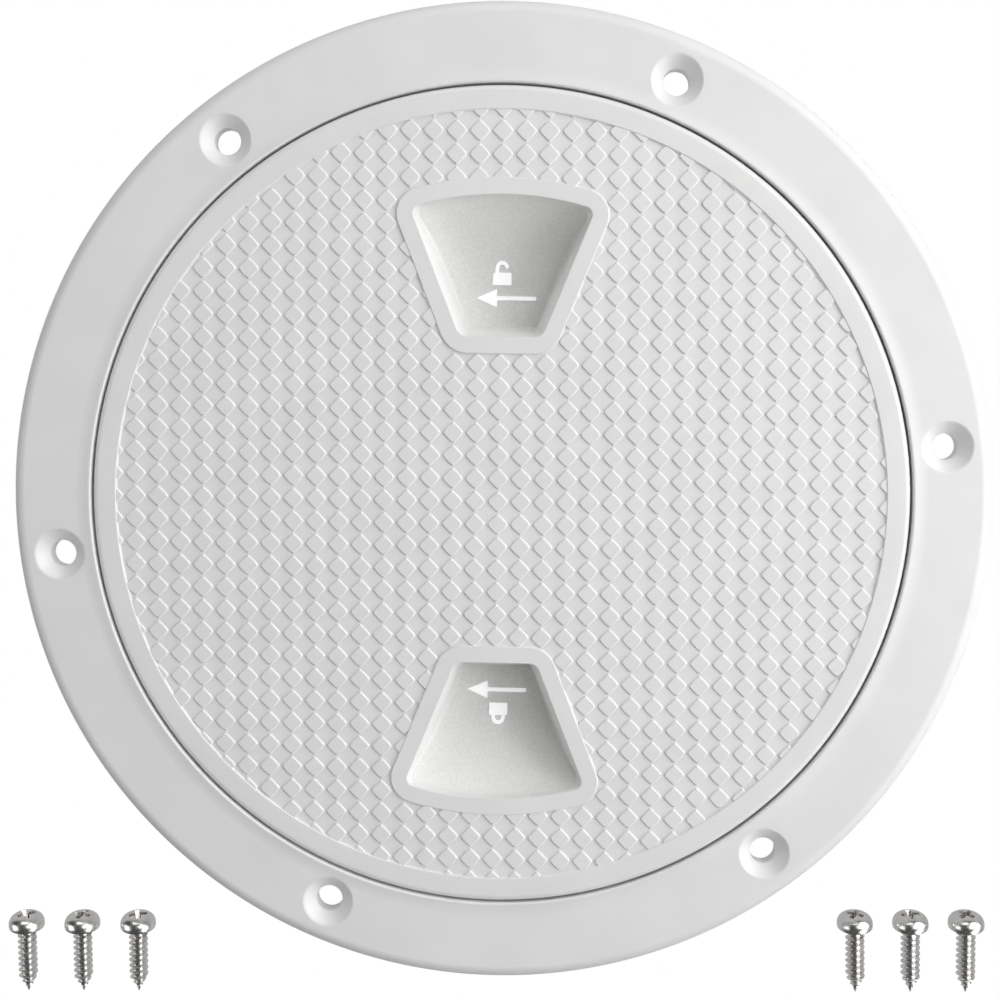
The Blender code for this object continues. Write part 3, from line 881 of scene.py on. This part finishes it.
def screw_shank():
    """A helical grid of core and thread down to the point, closed at both ends."""
    bm = bmesh.new()
    steps, rows = 36, 20
    total = int((SCREW_LENGTH + 0.7) / SCREW_PITCH * rows) + rows
    grid = [
        [bm.verts.new(shank_point((i, row, rows), steps)) for i in range(steps)]
        for row in range(total)
    ]
    for row in range(total - 1):
        for i in range(steps):
            if i < steps - 1:
                corners = [grid[row][i], grid[row][i + 1], grid[row + 1][i + 1], grid[row + 1][i]]
            elif row + rows + 1 < total:
                after = grid[row + rows][0], grid[row + rows + 1][0]
                corners = [grid[row][i], after[0], after[1], grid[row + 1][i]]
            else:
                continue
            bm.faces.new(corners)
    bmesh.ops.holes_fill(bm, edges=[e for e in bm.edges if e.is_boundary])
    return bm


def screw_head():
    """The pan head: flat bearing face, upright rim with a small edge, domed top."""
    r, h = SCREW_HEAD_RADIUS - SCREW_ROUNDING, SCREW_HEAD_HEIGHT
    profile = [
        (0, 0.0),
        (r - 0.25, 0.0),
        (r - 0.08, 0.08),
        (r - 0.02, 0.3),
        (r, SCREW_RIM_HEIGHT),
        (r * 0.985, 1.35),
        (r * 0.945, 1.8),
        (r * 0.87, 2.25),
        (r * 0.76, 2.6),
        (r * 0.6, 2.87),
        (r * 0.4, 3.02),
        (r * 0.2, h - 0.02),
        (0, h),
    ]
    return turned(profile, steps=48)


def recess_cutter():
    """The cross recess: a tapered plus sign let into the top of the head."""
    loops = []
    levels = [(SCREW_HEAD_HEIGHT - RECESS_DEPTH, 0.45), (SCREW_HEAD_HEIGHT + 0.4, 1.1)]
    for z, scale in levels:
        long, short = RECESS_HALF_LENGTH * scale, RECESS_HALF_WIDTH * (1 + scale) / 2
        loop = []
        for quarter in range(4):
            turn = quarter * pi / 2
            for x, y in [(short, short), (short, long), (-short, long)]:
                place = (x * cos(turn) - y * sin(turn), x * sin(turn) + y * cos(turn), z)
                loop.append(place)
        loops.append(loop)
    return lofted(loops)


def make_screws():
    """Six loose screws, each lying on its head's rim and its last full thread."""
    reach = SCREW_LENGTH - SCREW_POINT_LENGTH + SCREW_RIM_HEIGHT
    tilt = atan2(SCREW_HEAD_RADIUS - SCREW_THREAD_RADIUS, reach)
    rise = SCREW_HEAD_RADIUS * cos(tilt) - SCREW_RIM_HEIGHT * sin(tilt)
    screws = []
    for middle_x, middle_y, spacing, row_turn, screw_turn in SCREW_ROWS:
        for place in (-1, 0, 1):
            number = len(screws) + 1
            screw = new_object(f"hatch_screw_{number}", screw_head())
            steps = [("DIFFERENCE", recess_cutter()), ("UNION", screw_shank())]
            combine(screw, steps, radians(40))
            spin = Matrix.Rotation(SCREW_SPIN * number, 4, "Z")
            lay = Matrix.Rotation(-pi / 2 + tilt, 4, "X")
            turn = Matrix.Rotation(screw_turn, 4, "Z")
            top_x = middle_x + spacing * place * cos(row_turn)
            top_y = middle_y + spacing * place * sin(row_turn)
            under_y = top_y - SCREW_HEAD_HEIGHT * cos(tilt)
            screw.data.transform(turn @ lay @ spin)
            screw.location = (top_x * MM, under_y * MM, (COLLAR_BOTTOM + rise) * MM)
            even_shading(screw)
            screws.append(screw)
    return screws


# Materials ----------------------------------------------------------------------------
class Finish:
    """A Principled material with helpers for the node chains that the finishes share."""

    def __init__(self, name, colour, roughness, metallic=0.0):
        self.material = bpy.data.materials.new(name)
        self.material.use_nodes = True
        self.nodes = self.material.node_tree.nodes
        self.links = self.material.node_tree.links
        self.shader = self.nodes["Principled BSDF"]
        self.shader.inputs["Base Color"].default_value = (*colour, 1.0)
        self.shader.inputs["Roughness"].default_value = roughness
        self.shader.inputs["Metallic"].default_value = metallic
        self.place = self.nodes.new("ShaderNodeTexCoord").outputs["Object"]
        self.height = None

    def noise(self, size_mm, detail=3.0, stretch=(1, 1, 1)):
        """Noise with features of about this size, stretched along the axes."""
        mapping = self.nodes.new("ShaderNodeMapping")
        mapping.inputs["Scale"].default_value = stretch
        self.links.new(self.place, mapping.inputs["Vector"])
        noise = self.nodes.new("ShaderNodeTexNoise")
        noise.inputs["Scale"].default_value = 1 / (size_mm * MM)
        noise.inputs["Detail"].default_value = detail
        self.links.new(mapping.outputs["Vector"], noise.inputs["Vector"])
        return noise.outputs["Fac"]

    def spread(self, value, low, high):
        """Map the noise's usual range, 0.3 to 0.7, to low and high."""
        ranged = self.nodes.new("ShaderNodeMapRange")
        ranged.inputs["From Min"].default_value = 0.3
        ranged.inputs["From Max"].default_value = 0.7
        ranged.inputs["To Min"].default_value = low
        ranged.inputs["To Max"].default_value = high
        self.links.new(value, ranged.inputs["Value"])
        return ranged.outputs["Result"]

    def colour(self, value, dark, light):
        mix = self.nodes.new("ShaderNodeMix")
        mix.data_type = "RGBA"
        mix.inputs["A"].default_value = (*dark, 1.0)
        mix.inputs["B"].default_value = (*light, 1.0)
        self.links.new(self.spread(value, 0.0, 1.0), mix.inputs["Factor"])
        self.links.new(mix.outputs["Result"], self.shader.inputs["Base Color"])

    def roughness(self, value, low, high):
        self.links.new(self.spread(value, low, high), self.shader.inputs["Roughness"])

    def bump(self, value, height_mm, strength=1.0):
        """Add a height to the surface, on top of any bump already there."""
        bump = self.nodes.new("ShaderNodeBump")
        bump.inputs["Distance"].default_value = height_mm * MM
        bump.inputs["Strength"].default_value = strength
        self.links.new(value, bump.inputs["Height"])
        if self.height is not None:
            self.links.new(self.height, bump.inputs["Normal"])
        self.height = bump.outputs["Normal"]
        self.links.new(self.height, self.shader.inputs["Normal"])


def white_plastic():
    """Satin UV-stable moulded plastic: faint clouding, orange peel and a fine grain."""
    finish = Finish("white_plastic_moulded", (0.80, 0.80, 0.795), 0.42)
    finish.colour(finish.noise(16, detail=4), (0.775, 0.777, 0.772), (0.815, 0.813, 0.808))
    finish.roughness(finish.noise(5), 0.36, 0.5)
    finish.bump(finish.noise(2.2, detail=2), 0.012, 0.5)
    finish.bump(finish.noise(0.22, detail=2), 0.006, 0.5)
    return finish.material


def grained_plastic():
    """The same plastic where the mould is spark-eroded, inside the finger wells."""
    finish = Finish("white_plastic_grained", (0.80, 0.80, 0.795), 0.6)
    finish.colour(finish.noise(0.55, detail=3), (0.745, 0.747, 0.735), (0.835, 0.833, 0.828))
    finish.roughness(finish.noise(3), 0.52, 0.68)
    finish.bump(finish.noise(0.4, detail=3), 0.05, 0.8)
    return finish.material


def marks_white_with_painted_glow():
    """The bright flat white print of the operating marks, with a painted glow on top: an emission
    lifts them above what the lamps give the shaded well floor.
    """
    finish = Finish("white_marks_painted_glow", (0.9, 0.9, 0.9), 0.5)
    finish.colour(finish.noise(1.5), (0.87, 0.87, 0.87), (0.93, 0.93, 0.93))
    # painted glow: this emission makes the marks shine brighter than the lamps light them, so they
    # stay white in the wells' shade
    finish.shader.inputs["Emission Color"].default_value = (1.0, 1.0, 1.0, 1.0)
    finish.shader.inputs["Emission Strength"].default_value = 0.38
    finish.bump(finish.noise(0.3), 0.01, 0.5)
    return finish.material


def black_rubber():
    """Matt black O-ring rubber with a dusty bloom."""
    finish = Finish("black_rubber_seal", (0.02, 0.02, 0.02), 0.6)
    finish.colour(finish.noise(4, detail=5), (0.012, 0.012, 0.013), (0.035, 0.034, 0.033))
    finish.roughness(finish.noise(2), 0.5, 0.72)
    finish.bump(finish.noise(0.4), 0.02, 0.6)
    return finish.material


def stainless_steel():
    """Bright rolled stainless steel with fine turning marks round the screw."""
    finish = Finish("stainless_steel_screw", (0.72, 0.71, 0.69), 0.22, metallic=1.0)
    finish.colour(finish.noise(1.8, detail=4), (0.7, 0.69, 0.675), (0.86, 0.85, 0.835))
    finish.roughness(finish.noise(0.9), 0.2, 0.32)
    finish.bump(finish.noise(1.5, detail=3, stretch=(0.5, 9, 0.5)), 0.012, 0.4)
    return finish.material


def grain_the_wells(lid, material):
    """Give the well floors and walls the grained finish, up to just under their rims."""
    lid.data.materials.append(material)
    for face in lid.data.polygons:
        x, y, z = face.center / MM
        deep = z < -0.45 and -z <= well_depth(x, abs(y)) + 0.6
        inside = WELL_INNER_Y < abs(y) and hypot(x, y) < WELL_OUTER_RADIUS
        if deep and inside and abs(x) < beside_wall(abs(y), 0) + 0.6:
            face.material_index = 1


# Stage --------------------------------------------------------------------------------
CAMERA_PLACE = Vector((9.43, 22.48, 291.81))
CAMERA_AIM = Vector((0.373, 0.271, 0.0))
CAMERA_ROLL = radians(0.872)     # the picture's right-hand edge leans this far towards +Y
CAMERA_LENS = 51.94              # on a sensor 36 mm wide
FLOOR_RADIUS = 2000.0
SWEEP_RADIUS = 1000.0            # the floor curves up into a backdrop of this height all round
SWEEP_STEPS = 12
FLOOR_GAP = 0.05                 # keeps the floor's face clear of the collar and the screws


def make_camera():
    data = bpy.data.cameras.new("camera")
    data.lens = CAMERA_LENS
    data.sensor_width = 36.0
    camera = bpy.data.objects.new("camera", data)
    bpy.context.scene.collection.objects.link(camera)
    forward = (CAMERA_AIM - CAMERA_PLACE).normalized()
    level_right = forward.cross(Vector((0, 1, 0))).normalized()
    level_up = level_right.cross(forward)
    right = level_right * cos(CAMERA_ROLL) + level_up * sin(CAMERA_ROLL)
    axes = Matrix((right, right.cross(forward), -forward)).transposed().to_4x4()
    camera.matrix_world = Matrix.Translation(CAMERA_PLACE * MM) @ axes
    bpy.context.scene.camera = camera
    return camera


def make_floor():
    """A plain white floor just under the collar and the screws, lit evenly by itself."""
    z = cad_box[0].z / MM - FLOOR_GAP
    sweep = arc((FLOOR_RADIUS, z + SWEEP_RADIUS), SWEEP_RADIUS, -90, 0, SWEEP_STEPS)
    floor = new_object("stage_floor", open_bowl([(0, z), *sweep]))
    finish = Finish("stage_white", (0.0, 0.0, 0.0), 1.0)
    finish.shader.inputs["Specular IOR Level"].default_value = 0.0
    finish.shader.inputs["Emission Color"].default_value = (1.0, 1.0, 1.0, 1.0)
    finish.shader.inputs["Emission Strength"].default_value = 1.0
    floor.data.materials.append(finish.material)
    floor.visible_diffuse = False
    floor.visible_glossy = False
    floor.visible_shadow = False


def add_softbox(name, azimuth, elevation, distance, size, watts):
    """A square softbox that looks at the lid's centre."""
    data = bpy.data.lights.new(name, "AREA")
    data.shape = "SQUARE"
    data.size = size
    data.energy = watts
    light = bpy.data.objects.new(name, data)
    bpy.context.scene.collection.objects.link(light)
    flat = distance * cos(elevation)
    light.location = (flat * cos(azimuth), flat * sin(azimuth), distance * sin(elevation))
    light.rotation_euler = (-light.location).to_track_quat("-Z", "Y").to_euler()


SKY_LEVEL = 0.07                 # soft light from all round
BENCH_LEVEL = 0.5                # and from the white bench below
SOFTBOXES = [                    # name, azimuth and elevation in degrees, watts
    ("key_right", 4, 27, 2.6),
    ("key_rear", 45, 27, 1.85),
    ("high", 20, 58, 1.6),
    ("rear", 100, 25, 1.3),
    ("left", 195, 25, 1.3),
    ("front_right", 322, 25, 1.55),
]


def make_sky():
    """Dim studio air above, and the light that a white bench throws up from below."""
    world = bpy.data.worlds.new("studio")
    world.use_nodes = True
    bpy.context.scene.world = world
    nodes, links = world.node_tree.nodes, world.node_tree.links
    place = nodes.new("ShaderNodeTexCoord").outputs["Generated"]
    upward = nodes.new("ShaderNodeSeparateXYZ")
    links.new(place, upward.inputs["Vector"])
    level = nodes.new("ShaderNodeMapRange")
    level.interpolation_type = "SMOOTHSTEP"
    level.inputs["From Min"].default_value = -0.25
    level.inputs["From Max"].default_value = 0.05
    level.inputs["To Min"].default_value = BENCH_LEVEL
    level.inputs["To Max"].default_value = SKY_LEVEL
    links.new(upward.outputs["Z"], level.inputs["Value"])
    links.new(level.outputs["Result"], nodes["Background"].inputs["Strength"])
    nodes["Background"].inputs["Color"].default_value = (1.0, 1.0, 1.0, 1.0)


def make_lights():
    make_sky()
    for name, azimuth, elevation, watts in SOFTBOXES:
        add_softbox(name, radians(azimuth), radians(elevation), 0.75, 0.5, watts)


# Assembly -----------------------------------------------------------------------------
def main():
    plastic = white_plastic()
    ring = make_deck_ring()
    ring.data.materials.append(plastic)
    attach(ring, "frame")
    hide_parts("deck_ring")

    lid = make_lid()
    lid.data.materials.append(plastic)
    grain_the_wells(lid, grained_plastic())
    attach(lid, "lid")
    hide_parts("lid")

    marks = make_marks()
    marks.data.materials.append(marks_white_with_painted_glow())
    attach(marks, "lid")

    seal = make_seal()
    seal.data.materials.append(black_rubber())
    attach(seal, "seal")
    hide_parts("lid_seal")

    steel = stainless_steel()
    for number, screw in enumerate(make_screws(), start=1):
        screw.data.materials.append(steel)
        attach(screw, "frame")
        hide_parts(f"screw_{number}")

    make_camera()
    make_floor()
    make_lights()
    bpy.context.scene.view_settings.view_transform = "Standard"


main()
